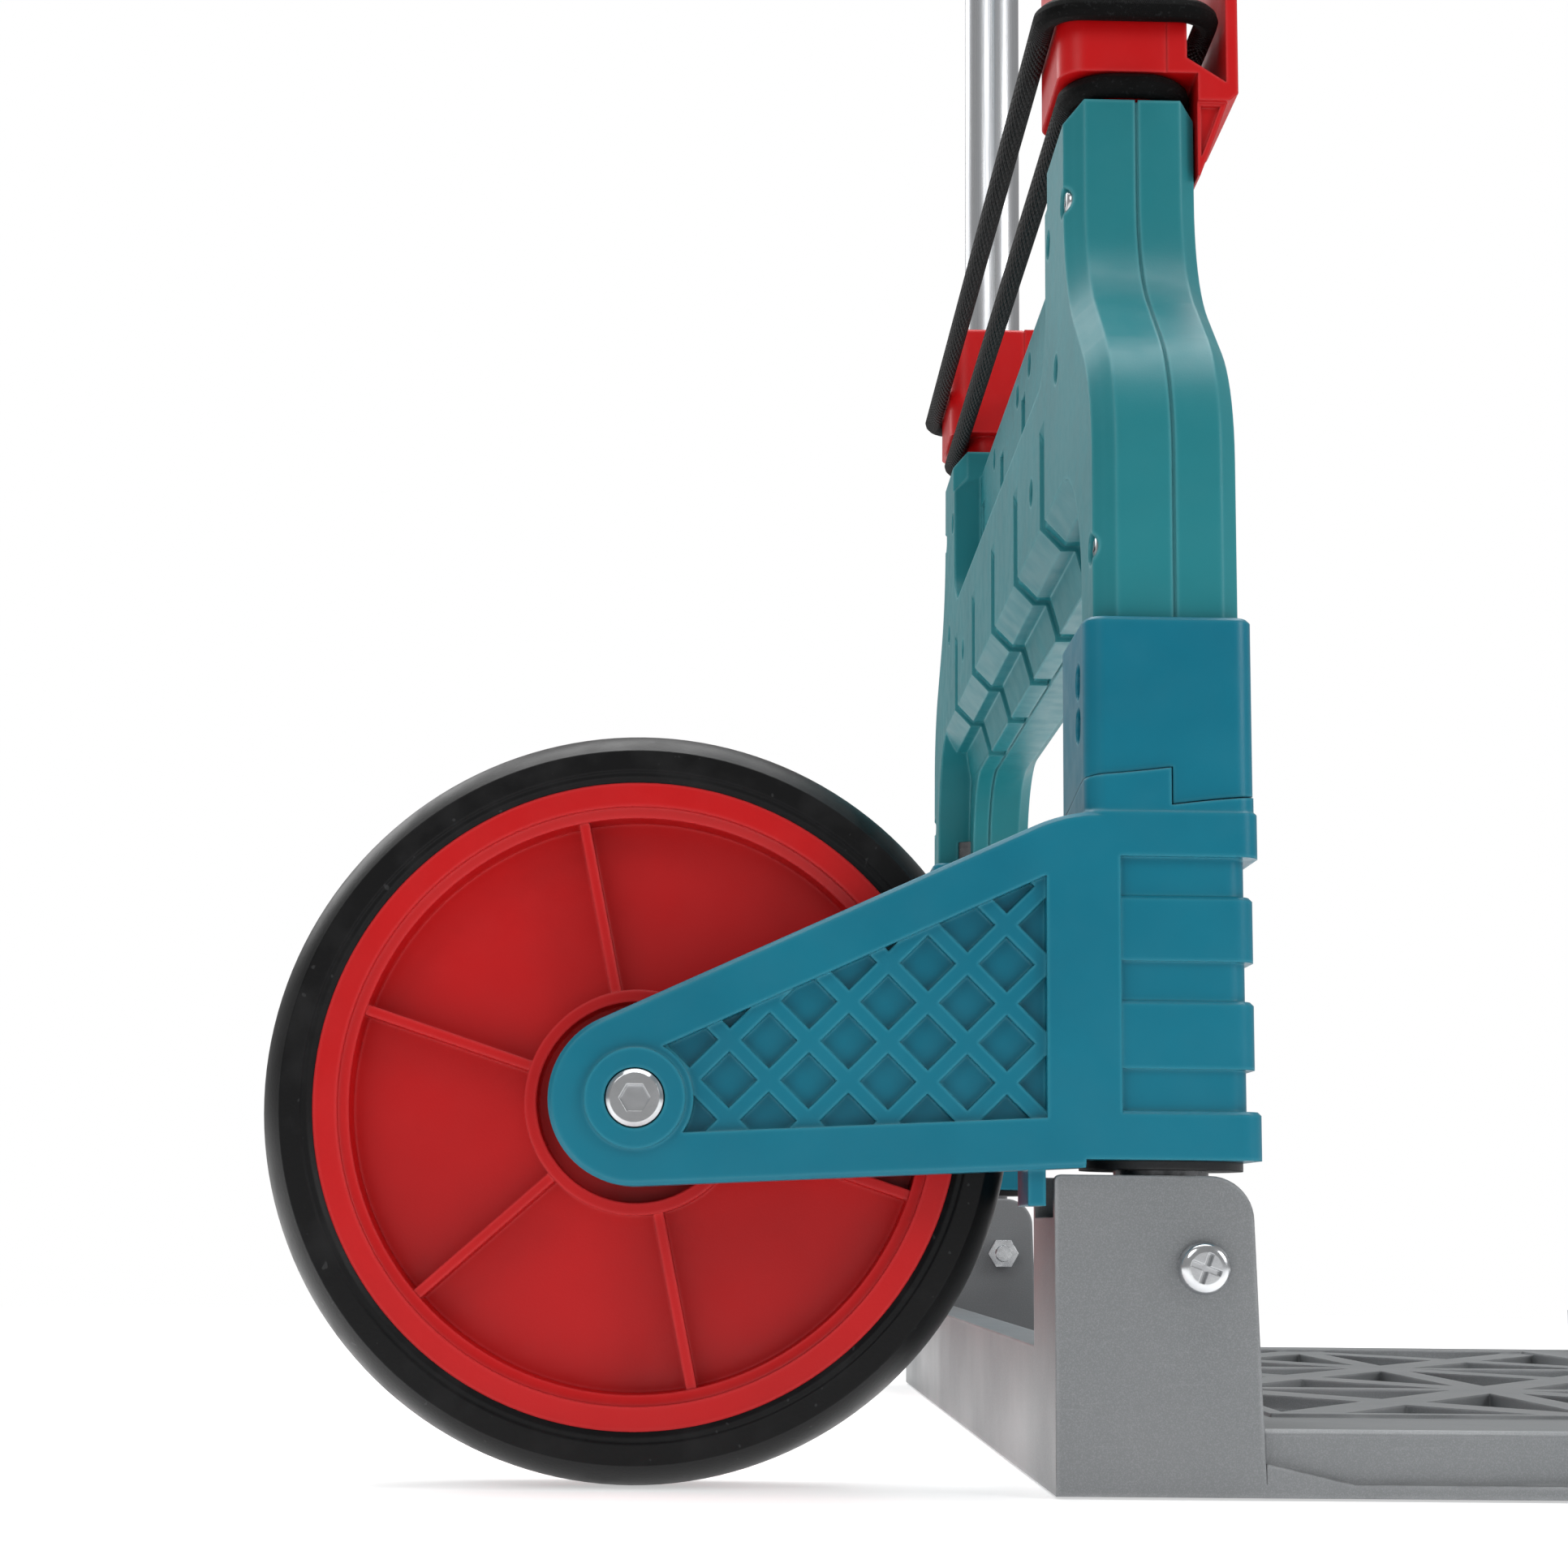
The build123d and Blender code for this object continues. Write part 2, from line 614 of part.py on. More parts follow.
save("hinge_screws", group([hinge_screw(), other_side(hinge_screw())]))
save("hinge_nuts", group([hinge_nut(), other_side(hinge_nut())]))
print("toe plate")


# Upper frame: fixed tubes, red hook collars, a bridge across the tube tops, and the stretched cords.
save_pair("outer_tube", tube(upper_tube_r, upper_wall, tube_low, tube_high, -upper_x))
collar_low, collar_high = 357.4, 398.0


def hook_collar():
    body = slab_z(Pos(-upper_x, 1.5) * RectangleRounded(46, 33, 7), collar_low, collar_high)
    neck = slab_z(Pos(-upper_x, 0) * RectangleRounded(36, 22.4, 8), neck_top, collar_low + 1)
    body = chamfer(body.faces().sort_by(Axis.Z)[-1].edges(), 1)
    hook = polygon([(-10, collar_high), (-28.5, collar_high), (-28.5, 352), (-26.3, 350), (-18, 350),
                    (-18, collar_low), (-10, collar_low)])
    gusset = polygon([(-26.3, 351), (-18.6, 330), (-18, 330), (-18, 351)])
    body += neck + slab_x(hook, -neck_out - 1, -neck_in + 1)
    body += slab_x(gusset, -neck_out + 0.5, -neck_in - 0.5)
    for x_low, x_high in ((-190, -neck_out + 2), (-neck_in - 2, -130)):
        hollow = polygon([(-24, 349), (-18.9, 335), (-18.9, 349)])
        body -= slab_x(hollow, x_low, x_high)
    opening = polygon([(-15.2, collar_high + 5), (-25.4, collar_high + 5), (-25.4, 355), (-15.2, 361.5)])
    body -= slab_x(opening, -200, -120)
    body -= rod_z(upper_tube_r + slide_gap, 340, 410, -upper_x)
    return body


save_pair("hook_collar", hook_collar())


def cord_loop(z, half_x, y_front, y_back, corner):
    # One closed turn round both legs: four straight runs with round corners.
    size_y = y_back - y_front
    route = Pos(0, (y_front + y_back) / 2, z) * RectangleRounded(2 * half_x, size_y, corner)
    path = route.wire()
    start = path @ 0.0
    profile = Plane(origin=start, z_dir=path % 0.0) * Circle(cord_r)
    straight = 2 * (2 * half_x + size_y) - 8 * corner
    print("cord loop length", round(straight + 2 * math.pi * corner), "corner radius", corner)
    return sweep(profile, path=path)


lower_cord = cord_loop(353.9, 184.8, -14.4, 14.4, 11.0)
upper_cord = cord_loop(373.0, 189.4, -21.2, 21.4, 9.0)
save("elastic_cord_lower", lower_cord)
save("elastic_cord_upper", upper_cord)


def tube_bridge():
    middle = tube_high - 7
    bridge = box((-upper_x, upper_x), (-12, 12), (middle - 15, middle + 15))
    bridge = fillet(bridge.edges().filter_by(Axis.X), 5)
    for side in (-1, 1):
        socket = rod_z(17, tube_high - 42, tube_high + 12, side * upper_x)
        bridge += chamfer(socket.faces().sort_by(Axis.Z)[-1].edges(), 2)
        bridge -= rod_z(upper_tube_r + slide_gap, tube_high - 50, tube_high, side * upper_x)
        bridge -= rod_z(upper_tube_r - upper_wall, tube_high - 50, tube_high + 20, side * upper_x)
    for y_low, y_high in ((8, 20), (-20, -8)):
        bridge -= slab_y(Pos(0, middle) * RectangleRounded(250, 16, 6), y_low, y_high)
    return bridge


save("tube_bridge", tube_bridge())
print("upper frame")


# Telescopic handle: inner tubes, a two-part grip shell, and a sprung release button with its rods and pins.
inner_r = upper_tube_r - upper_wall - slide_gap
inner_wall = 1.2
tube_overlap = 50.0
inner_low = tube_high - tube_overlap - handle_travel
grip_low = tube_high + 13
inner_high = grip_low + 27
grip_z = handle_top - 18
cavity_half = 13.5
screw_z = grip_z - cavity_half - 2.2


def handle_path():
    corners = [(-upper_x, 0, grip_low), (-upper_x, 0, grip_z), (upper_x, 0, grip_z), (upper_x, 0, grip_low)]
    return FilletPolyline(*corners, radius=24)


def handle_solid(width_y, width_z, corner):
    path = handle_path()
    section = Plane(origin=path @ 0, x_dir=(1, 0, 0), z_dir=(0, 0, 1)) * RectangleRounded(width_z, width_y, corner)
    return sweep(section, path=path)


def handle_shell(side):
    shell = handle_solid(36, 36, 12) - handle_solid(2 * cavity_half, 2 * cavity_half, 7)
    for x in (-upper_x, upper_x):
        shell += rod_z(cavity_half + 1, grip_low, inner_high + 4, x)
        shell -= rod_z(inner_r, grip_low - 5, inner_high, x)
        shell -= rod_z(5, grip_low - 5, inner_high + 10, x)
    shell -= box((-24.4, 24.4), (-8.4, 8.4), (handle_top - 8, handle_top + 5))
    for x in handle_screw_places:
        shell -= rod_y(1.4, -12, 20, x, screw_z)
        shell -= rod_y(2.2, 11, 25, x, screw_z)
    half = box((-250, 250), sorted((0, side * 40)), (500, 800))
    return shell & half


handle_screw_places = (-130.0, -112.0, 112.0, 130.0)
save("handle_front_shell", handle_shell(-1))
save("handle_rear_shell", handle_shell(1))
handle_screws = [
    rod_y(2.1, 11, 12.6, x, screw_z) + rod_y(1.35, -11.5, 11, x, screw_z) for x in handle_screw_places
]
save("handle_screws", group(handle_screws))


def inner_tube():
    body = tube(inner_r, inner_wall, inner_low, inner_high, -upper_x)
    return body - rod_x(pin_r + 0.05, -upper_x - 20, -upper_x, 0, pin_z)


pin_r, pin_z = 2.5, inner_low + 12
save_pair("inner_tube", inner_tube())


def latch_plug():
    plug = rod_z(inner_r - inner_wall - slide_gap, inner_low, inner_low + 28, -upper_x)
    plug -= rod_x(pin_r + 0.05, -upper_x - 20, -upper_x + 5, 0, pin_z)
    return plug - rod_z(rod_r + 0.3, pin_z + 5, inner_low + 40, -upper_x)


def latch_pin():
    pin = rod_x(pin_r, -upper_x - inner_r + 0.4, -upper_x + 4.6 - pin_travel, 0, pin_z)
    return chamfer(pin.faces().sort_by(Axis.X)[0].edges(), 0.8)


rod_r = 2.0
rod_low = pin_z + 5.5 + button_travel
bar_z = (grip_z - 4, grip_z)
save_pair("latch_plug", latch_plug())
save_pair("latch_pin", latch_pin())
save_pair("latch_rod", rod_z(rod_r, rod_low, bar_z[0], -upper_x))
save("latch_bar", box((-upper_x - 3, upper_x + 3), (-4, 4), bar_z))


def release_button():
    button = box((-24, 24), (-8, 8), (handle_top - 12, handle_top + 1.5))
    button = fillet(button.edges().filter_by(Axis.Z), 4)
    button = fillet(button.faces().sort_by(Axis.Z)[-1].edges(), 1.2)
    return button + box((-20, 20), (-3, 3), (bar_z[1], handle_top - 12))


save("release_button", release_button())


def grip_sleeve():
    sleeve = handle_solid(40, 40, 13) - handle_solid(36.1, 36.1, 12)
    sleeve &= box((-105, 105), (-30, 30), (600, 720))
    return sleeve - box((-30, 30), (-30, 30), (handle_top - 6, handle_top + 20))


save("grip_sleeve", grip_sleeve())
save("button_spring", coil_spring(0.5, 4.5, 2.2, grip_z - cavity_half, bar_z[0], 0))
print("handle")
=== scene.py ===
import json
import math
import bpy
from mathutils import Euler, Matrix, Vector


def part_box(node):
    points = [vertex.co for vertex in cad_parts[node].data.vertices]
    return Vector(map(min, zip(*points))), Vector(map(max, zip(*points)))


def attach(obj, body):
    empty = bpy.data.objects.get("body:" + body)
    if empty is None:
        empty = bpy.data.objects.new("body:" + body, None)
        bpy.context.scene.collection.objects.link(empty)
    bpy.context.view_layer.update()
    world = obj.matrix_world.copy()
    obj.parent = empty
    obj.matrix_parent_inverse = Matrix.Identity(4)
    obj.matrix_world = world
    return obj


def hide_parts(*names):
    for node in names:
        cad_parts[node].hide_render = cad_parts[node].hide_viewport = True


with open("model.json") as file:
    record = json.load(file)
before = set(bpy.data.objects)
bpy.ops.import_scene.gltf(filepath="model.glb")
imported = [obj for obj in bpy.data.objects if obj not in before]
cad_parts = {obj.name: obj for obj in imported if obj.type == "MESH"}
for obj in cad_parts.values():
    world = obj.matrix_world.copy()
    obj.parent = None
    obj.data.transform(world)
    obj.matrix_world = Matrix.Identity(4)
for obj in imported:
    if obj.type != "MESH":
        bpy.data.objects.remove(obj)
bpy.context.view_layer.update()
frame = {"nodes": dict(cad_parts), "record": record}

# A folding hand truck. Lengths are in metres, +X across the cart, +Y to the wheels and +Z up.
mm = 0.001
sides = ("left", "right")
print("frame loaded:", len(frame["nodes"]), "nodes")


# Camera: low beside the left wheel, tilted up a little
cameraSetup = {
    "spot": (-0.8585, 0.1247, 0.0579),
    "heading": -1.443,
    "tilt": 8.727,
    "roll": 0.592,
    "lens": 62.905,
    "shiftY": 0.018,
}


def makeCamera(setup):
    data = bpy.data.cameras.new("viewCamera")
    data.lens = setup["lens"]
    data.shift_y = setup["shiftY"]
    data.clip_start, data.clip_end = 0.01, 50
    camera = bpy.data.objects.new("viewCamera", data)
    bpy.context.scene.collection.objects.link(camera)
    turn = Euler((math.radians(90 + setup["tilt"]), 0, math.radians(setup["heading"] - 90)))
    roll = Matrix.Rotation(math.radians(setup["roll"]), 4, "Z")
    camera.matrix_world = Matrix.Translation(setup["spot"]) @ turn.to_matrix().to_4x4() @ roll
    bpy.context.scene.camera = camera


makeCamera(cameraSetup)


# Colour and node tools
def fromHex(text):
    # sRGB hex to linear, as Blender's sockets take it
    parts = [int(text[place:place + 2], 16) / 255 for place in (1, 3, 5)]
    linear = [part / 12.92 if part <= 0.04045 else ((part + 0.055) / 1.055) ** 2.4 for part in parts]
    return (*linear, 1.0)


def addNode(tree, kind, settings=None, links=None):
    node = tree.nodes.new(kind)
    for name, value in (settings or {}).items():
        if isinstance(name, str) and hasattr(node, name):
            setattr(node, name, value)
        else:
            node.inputs[name].default_value = value
    for name, source in (links or {}).items():
        tree.links.new(source, node.inputs[name])
    return node


def mapShare(tree, value, settings):
    return addNode(tree, "ShaderNodeMapRange", settings, {"Value": value}).outputs[0]


def doMath(tree, operation, settings, links):
    return addNode(tree, "ShaderNodeMath", {"operation": operation, **settings}, links).outputs[0]


# Lights: a pale room, a wide lamp overhead, two soft boxes on the left and one behind on the right
lightSetup = {
    "backdrop": 1.0,
    "roomLight": 0.34,
    "lamps": {
        "overhead": {"spot": (0.25, 0.0, 1.7), "size": 2.0, "watts": 34},
        "keyBox": {"spot": (-1.5, 0.9, 1.3), "size": 1.0, "watts": 6},
        "frontBox": {"spot": (-1.1, -1.5, 0.9), "size": 0.9, "watts": 10},
        "backBox": {"spot": (1.4, 1.2, 1.3), "size": 1.2, "watts": 7},
    },
    "aim": (0.0, 0.0, 0.25),
}


def makeLights(setup):
    world = bpy.data.worlds.new("paleRoom")
    world.use_nodes = True
    background = world.node_tree.nodes["Background"]
    background.inputs["Color"].default_value = (1, 1, 1, 1)
    # The paper backdrop shows white, and lights the cart less than it shows
    path = addNode(world.node_tree, "ShaderNodeLightPath")
    strength = addNode(world.node_tree, "ShaderNodeMapRange",
                       {"To Min": setup["roomLight"], "To Max": setup["backdrop"]},
                       {"Value": path.outputs["Is Camera Ray"]})
    world.node_tree.links.new(strength.outputs[0], background.inputs["Strength"])
    bpy.context.scene.world = world
    for name, lamp in setup["lamps"].items():
        data = bpy.data.lights.new(name, "AREA")
        data.shape = "DISK"
        data.size = lamp["size"]
        data.energy = lamp["watts"]
        light = bpy.data.objects.new(name, data)
        light.location = lamp["spot"]
        aim = Vector(setup["aim"]) - light.location
        light.rotation_euler = aim.to_track_quat("-Z", "Y").to_euler()
        bpy.context.scene.collection.objects.link(light)
    bpy.context.scene.view_settings.view_transform = "Standard"


makeLights(lightSetup)


# Material tools
def newMaterial(name, shaderSettings):
    material = bpy.data.materials.new(name)
    material.use_nodes = True
    tree = material.node_tree
    shader = tree.nodes["Principled BSDF"]
    for socket, value in shaderSettings.items():
        shader.inputs[socket].default_value = value
    return material, tree, shader


def perMm(size):
    # a noise's scale for features of that size in millimetres, on Object coordinates in metres
    return 1000 / size


def roundedEdges(tree, radius):
    # A small radius on every moulded or cast edge, and a mask of where those edges are
    soft = addNode(tree, "ShaderNodeBevel", {"samples": 4, "Radius": radius})
    wide = addNode(tree, "ShaderNodeBevel", {"samples": 4, "Radius": radius * 2})
    true = addNode(tree, "ShaderNodeNewGeometry")
    dot = addNode(tree, "ShaderNodeVectorMath", {"operation": "DOT_PRODUCT"},
                  {0: wide.outputs[0], 1: true.outputs["Normal"]})
    # A dot of 1 is a flat face, and it falls as the rounded normal turns from the face's own
    edge = mapShare(tree, dot.outputs["Value"], {"From Min": 0.999, "From Max": 0.82})
    return soft.outputs[0], edge


def mixColours(tree, factor, first, second):
    # first and second are a hex colour or another node's output
    settings, links = {"data_type": "RGBA"}, {0: factor}
    for place, colour in ((6, first), (7, second)):
        if isinstance(colour, str):
            settings[place] = fromHex(colour)
        else:
            links[place] = colour
    return addNode(tree, "ShaderNodeMix", settings, links).outputs[2]


def noiseShare(tree, coordinates, size, low, high, detail=3.0):
    # Noise stretched from 0 to 1 between two of its values
    noise = addNode(tree, "ShaderNodeTexNoise", {"Scale": perMm(size), "Detail": detail},
                    {"Vector": coordinates})
    return mapShare(tree, noise.outputs[0], {"From Min": low, "From Max": high})


def rangeOf(tree, share, low, high):
    return mapShare(tree, share, {"To Min": low, "To Max": high})


# Moulded plastics: spark-eroded mould skin, so a fine even grain with a soft broad shine.
# Edges are painted paler: partly a painted highlight where the rounded edges catch the light, partly polish
# from handling.
plastics = {
    "tealNylonMoulded": {
        "slots": ["frame_green"], "base": "#1D737B", "other": "#217A82", "edge": "#5FA9B1",
        "roughness": (0.33, 0.43), "grainMm": 0.45, "grainHeight": 0.00002,
        "edgeRadius": 0.0009, "edgeHighlightAndWearShare": 0.55,
    },
    "blueNylonMoulded": {
        "slots": ["bracket_blue"], "base": "#04687E", "other": "#086F85", "edge": "#3F97A9",
        "roughness": (0.28, 0.38), "grainMm": 0.45, "grainHeight": 0.000014,
        "edgeRadius": 0.0008, "edgeHighlightAndWearShare": 0.5,
    },
    "redPolypropyleneMoulded": {
        "slots": ["red_plastic"], "base": "#B8080C", "other": "#C00B0F", "edge": "#D23A3C",
        "roughness": (0.34, 0.45), "grainMm": 0.5, "grainHeight": 0.00002,
        "edgeRadius": 0.0008, "edgeHighlightAndWearShare": 0.6,
    },
    "blackNylonMoulded": {
        "slots": ["black_plastic"], "base": "#1B1B1C", "other": "#212122", "edge": "#3A3A3B",
        "roughness": (0.38, 0.52), "grainMm": 0.6, "grainHeight": 0.00004,
        "edgeRadius": 0.0008, "edgeHighlightAndWearShare": 0.4,
    },
}


def mouldedPlastic(name, look):
    material, tree, shader = newMaterial(name, {"IOR": 1.5, "Specular IOR Level": 0.3})
    place = addNode(tree, "ShaderNodeTexCoord").outputs["Object"]
    normal, edge = roundedEdges(tree, look["edgeRadius"])
    flow = noiseShare(tree, place, 45, 0.35, 0.65)
    body = mixColours(tree, flow, look["base"], look["other"])
    # The paler edge colour is partly a painted highlight and partly wear from handling
    edgeHighlightAndWearShare = rangeOf(tree, edge, 0, look["edgeHighlightAndWearShare"])
    tree.links.new(mixColours(tree, edgeHighlightAndWearShare, body, look["edge"]), shader.inputs["Base Color"])
    scuff = noiseShare(tree, place, 9, 0.4, 0.7, 6.0)
    tree.links.new(rangeOf(tree, scuff, *look["roughness"]), shader.inputs["Roughness"])
    grain = addNode(tree, "ShaderNodeTexNoise", {"Scale": perMm(look["grainMm"]), "Detail": 2.0},
                    {"Vector": place})
    bump = addNode(tree, "ShaderNodeBump", {"Distance": look["grainHeight"]},
                   {"Height": grain.outputs[0], "Normal": normal})
    tree.links.new(bump.outputs[0], shader.inputs["Normal"])
    return material


# Silver paint over die-cast aluminium: fine metal flakes in the coat, a slight orange peel from spraying,
# and bare bright metal where the paint has rubbed off the edges.
platePaint = {
    "base": "#7E8082", "other": "#777A7C", "bare": "#A9ABAD", "roughness": (0.36, 0.46), "flakeMm": 0.3,
    "peelMm": 2.5, "peelHeight": 0.00003, "edgeRadius": 0.0009, "scratchMm": 0.6, "scratchShare": 0.08,
}


def paintedCasting(look):
    material, tree, shader = newMaterial("silverPaintOnDieCast", {"Metallic": 0.3})
    place = addNode(tree, "ShaderNodeTexCoord").outputs["Object"]
    normal, edge = roundedEdges(tree, look["edgeRadius"])
    cloud = noiseShare(tree, place, 60, 0.35, 0.65, 5.0)
    flakes = noiseShare(tree, place, look["flakeMm"], 0.45, 0.75, 1.0)
    paint = mixColours(tree, cloud, look["base"], look["other"])
    paint = mixColours(tree, rangeOf(tree, flakes, 0, 0.3), paint, look["bare"])
    chips = noiseShare(tree, place, 14, 0.2, 0.75, 4.0)
    rubbed = doMath(tree, "MULTIPLY", {}, {0: chips, 1: edge})
    # Long scratches run with the load as it slides on and off
    stretched = addNode(tree, "ShaderNodeMapping", {"Scale": (1.0, 0.04, 1.0), "Rotation": (0, 0, 0.5)},
                        {"Vector": place}).outputs[0]
    scratch = noiseShare(tree, stretched, look["scratchMm"], 0.66, 0.72, 2.0)
    worn = doMath(tree, "MULTIPLY_ADD", {1: look["scratchShare"]}, {0: scratch, 2: rubbed})
    tree.links.new(mixColours(tree, worn, paint, look["bare"]), shader.inputs["Base Color"])
    tree.links.new(rangeOf(tree, cloud, *look["roughness"]), shader.inputs["Roughness"])
    peel = addNode(tree, "ShaderNodeTexNoise", {"Scale": perMm(look["peelMm"])}, {"Vector": place})
    bump = addNode(tree, "ShaderNodeBump", {"Distance": look["peelHeight"]},
                   {"Height": peel.outputs[0], "Normal": normal})
    tree.links.new(bump.outputs[0], shader.inputs["Normal"])
    return material


# Metals: zinc plate is bright with a faint mottle, spring wire is darker under its oil, and the drawn
# aluminium tubes carry fine lines along their length under a clear anodised skin.
metals = {
    "zincPlatedSteel": {
        "slots": ["zinc_steel"], "base": "#D5D7D9", "other": "#C6C8CB", "roughness": (0.14, 0.22),
        "patternMm": 5.0, "stretch": 1.0, "height": 0.00001,
    },
    "oiledSpringSteel": {
        "slots": ["spring_steel"], "base": "#77787A", "other": "#5D5E60", "roughness": (0.25, 0.4),
        "patternMm": 3.0, "stretch": 1.0, "height": 0.00001,
    },
    "anodisedDrawnAluminium": {
        "slots": ["tube_aluminium"], "base": "#D6D8DA", "other": "#BABCC0", "roughness": (0.26, 0.38),
        "patternMm": 0.5, "stretch": 0.01, "height": 0.000006,
    },
}


def bareMetal(name, look):
    material, tree, shader = newMaterial(name, {"Metallic": 1.0})
    place = addNode(tree, "ShaderNodeTexCoord").outputs["Object"]
    normal, edge = roundedEdges(tree, 0.0003)
    drawn = addNode(tree, "ShaderNodeMapping", {"Scale": (1.0, 1.0, look["stretch"])},
                    {"Vector": place}).outputs[0]
    mottle = noiseShare(tree, drawn, look["patternMm"], 0.35, 0.7)
    tree.links.new(mixColours(tree, mottle, look["base"], look["other"]), shader.inputs["Base Color"])
    tree.links.new(rangeOf(tree, mottle, *look["roughness"]), shader.inputs["Roughness"])
    bump = addNode(tree, "ShaderNodeBump", {"Distance": look["height"]}, {"Height": mottle, "Normal": normal})
    tree.links.new(bump.outputs[0], shader.inputs["Normal"])
    return material


# Rubbers: cured in a steel mould. The tyre is smooth with a low shine and a little dust. The feet, the bumpers
# and other soft rubber are duller, with an open grain.
rubbers = {
    "tyreRubberMoulded": {
        "slots": ["tyre_rubber"], "base": "#0B0B0C", "dust": "#2C2C2D", "roughness": (0.36, 0.52),
        "grainMm": 0.8, "grainHeight": 0.00003, "dustShare": 0.35, "edgeRadius": 0.0006,
    },
    "softRubberMoulded": {
        "slots": ["black_rubber"], "base": "#18181A", "dust": "#2E2E30", "roughness": (0.6, 0.75),
        "grainMm": 0.7, "grainHeight": 0.00008, "dustShare": 0.3, "edgeRadius": 0.0008,
    },
}


def mouldedRubber(name, look):
    material, tree, shader = newMaterial(name, {"IOR": 1.52, "Specular IOR Level": 0.18})
    place = addNode(tree, "ShaderNodeTexCoord").outputs["Object"]
    normal, edge = roundedEdges(tree, look["edgeRadius"])
    dust = noiseShare(tree, place, 12, 0.5, 0.8, 8.0)
    speck = noiseShare(tree, place, 2.2, 0.74, 0.78, 1.0)
    haze = rangeOf(tree, dust, 0, look["dustShare"])
    dusty = doMath(tree, "MAXIMUM", {}, {0: haze, 1: speck})
    tree.links.new(mixColours(tree, dusty, look["base"], look["dust"]), shader.inputs["Base Color"])
    tree.links.new(rangeOf(tree, dust, *look["roughness"]), shader.inputs["Roughness"])
    grain = addNode(tree, "ShaderNodeTexNoise", {"Scale": perMm(look["grainMm"])}, {"Vector": place})
    bump = addNode(tree, "ShaderNodeBump", {"Distance": look["grainHeight"]},
                   {"Height": grain.outputs[0], "Normal": normal})
    tree.links.new(bump.outputs[0], shader.inputs["Normal"])
    return material


# Braided polyester over a rubber core: strands cross at 45 degrees round the cord, with a silky shine on each
# strand, dark gaps between them, and some paler threads.
braid = {
    "strand": "#0D0E0F", "gap": "#020202", "fleck": "#4A4C4E", "strandMm": 1.3, "cordR": 3.15, "height": 0.0004,
}


def braidedElastic(look):
    material, tree, shader = newMaterial("braidedPolyester", {"Roughness": 0.55, "Specular IOR Level": 0.12})
    split = addNode(tree, "ShaderNodeSeparateXYZ", None, {0: addNode(tree, "ShaderNodeUVMap").outputs[0]})
    strands = round(2 * math.pi * look["cordR"] / look["strandMm"])
    waves = []
    for turn in (1, -1):
        # UV x is the length in cord girths and y is the share of the way round
        along = doMath(tree, "MULTIPLY_ADD", {1: turn}, {0: split.outputs[0], 2: split.outputs[1]})
        phase = doMath(tree, "MULTIPLY", {1: strands * math.pi}, {0: along})
        wave = doMath(tree, "SINE", {}, {0: phase})
        waves.append(doMath(tree, "ABSOLUTE", {}, {0: wave}))
    weave = doMath(tree, "MULTIPLY", {}, {0: waves[0], 1: waves[1]})
    gaps = mapShare(tree, weave, {"From Min": 0.05, "From Max": 0.5})
    place = addNode(tree, "ShaderNodeTexCoord").outputs["Object"]
    fleck = noiseShare(tree, place, 1.0, 0.62, 0.72, 1.0)
    thread = mixColours(tree, rangeOf(tree, fleck, 0, 0.35), look["strand"], look["fleck"])
    tree.links.new(mixColours(tree, gaps, look["gap"], thread), shader.inputs["Base Color"])
    bump = addNode(tree, "ShaderNodeBump", {"Distance": look["height"]}, {"Height": weave})
    tree.links.new(bump.outputs[0], shader.inputs["Normal"])
    return material


finishes = {}
for finishName, finishLook in plastics.items():
    for slotName in finishLook["slots"]:
        finishes[slotName] = mouldedPlastic(finishName, finishLook)
for finishName, finishLook in metals.items():
    for slotName in finishLook["slots"]:
        finishes[slotName] = bareMetal(finishName, finishLook)
for finishName, finishLook in rubbers.items():
    for slotName in finishLook["slots"]:
        finishes[slotName] = mouldedRubber(finishName, finishLook)
finishes["plate_grey"] = paintedCasting(platePaint)
finishes["elastic_braid"] = braidedElastic(braid)


def giveFinish(piece, slotName):
    piece.data.materials.clear()
    piece.data.materials.append(finishes[slotName])


for part in frame["record"]["subparts"]:
    giveFinish(frame["nodes"][part["node"]], part["material_slot"])
print("materials on every CAD node")


# Modelling tools
def finishPiece(piece, body, slotName, *nodes):
    bpy.ops.object.select_all(action="DESELECT")
    piece.select_set(True)
    bpy.context.view_layer.objects.active = piece
    bpy.ops.object.transform_apply(location=True, rotation=True, scale=True)
    giveFinish(piece, slotName)
    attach(piece, body)
    if nodes:
        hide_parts(*nodes)


def arcPoints(centre, radius, start, end, steps):
    angles = [math.radians(start + (end - start) * step / steps) for step in range(steps + 1)]
    return [(centre[0] + radius * math.cos(a), centre[1] + radius * math.sin(a)) for a in angles]


def spinProfile(name, centre, profile, steps):
    # The section, as (along X, radius), is drawn point by point with extrude and spun about the axle
    start = centre + Vector((profile[0][0], 0, profile[0][1]))
    bpy.ops.object.select_all(action="DESELECT")
    bpy.ops.mesh.primitive_plane_add(size=0.001, location=start)
    piece = bpy.context.object
    piece.name = name
    bpy.ops.object.transform_apply(location=True, rotation=True, scale=True)
    bpy.ops.object.mode_set(mode="EDIT")
    bpy.ops.mesh.merge(type="CENTER")
    for before, after in zip(profile, profile[1:] + profile[:1]):
        step = (after[0] - before[0], 0, after[1] - before[1])
        bpy.ops.mesh.extrude_region_move(TRANSFORM_OT_translate={"value": step})
    bpy.ops.mesh.select_all(action="SELECT")
    bpy.ops.mesh.remove_doubles(threshold=0.000002)
    bpy.ops.mesh.spin(steps=steps, angle=2 * math.pi, center=centre, axis=(1, 0, 0))
    bpy.ops.mesh.select_all(action="SELECT")
    bpy.ops.mesh.remove_doubles(threshold=0.000002)
    bpy.ops.mesh.normals_make_consistent(inside=False)
    bpy.ops.object.mode_set(mode="OBJECT")
    bpy.ops.object.shade_smooth_by_angle(angle=math.radians(32))
    return piece


